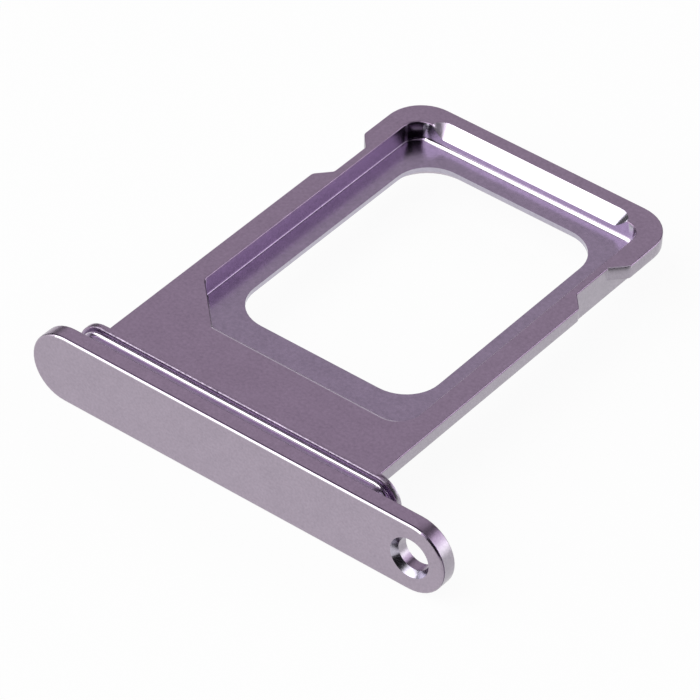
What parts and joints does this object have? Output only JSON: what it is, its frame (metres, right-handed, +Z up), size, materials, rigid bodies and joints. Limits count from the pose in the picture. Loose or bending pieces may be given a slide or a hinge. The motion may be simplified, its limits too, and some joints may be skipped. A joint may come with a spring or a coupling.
{
  "type": "sim card tray",
  "caption": "Slim metal card tray with a rounded face, an eject-pin hole, a sealing collar, notched rails and a keyed pocket with an open window.",
  "frame": {"origin": "centre of the bounding box, at the level of the lower edge of the face", "axes": "+X along the face towards the eject hole, +Y the way the tray slides into the device, +Z up out of the card pocket"},
  "size_m": [0.0158, 0.017, 0.0025],
  "materials": {
    "sim_tray": "fine bead-blasted and anodised in muted purple, with a bright polished front edge on the face and a bright ramp at the far end"
  },
  "bodies": {
    "root": {"sim_tray": "sim_tray"}
  },
  "joints": []
}
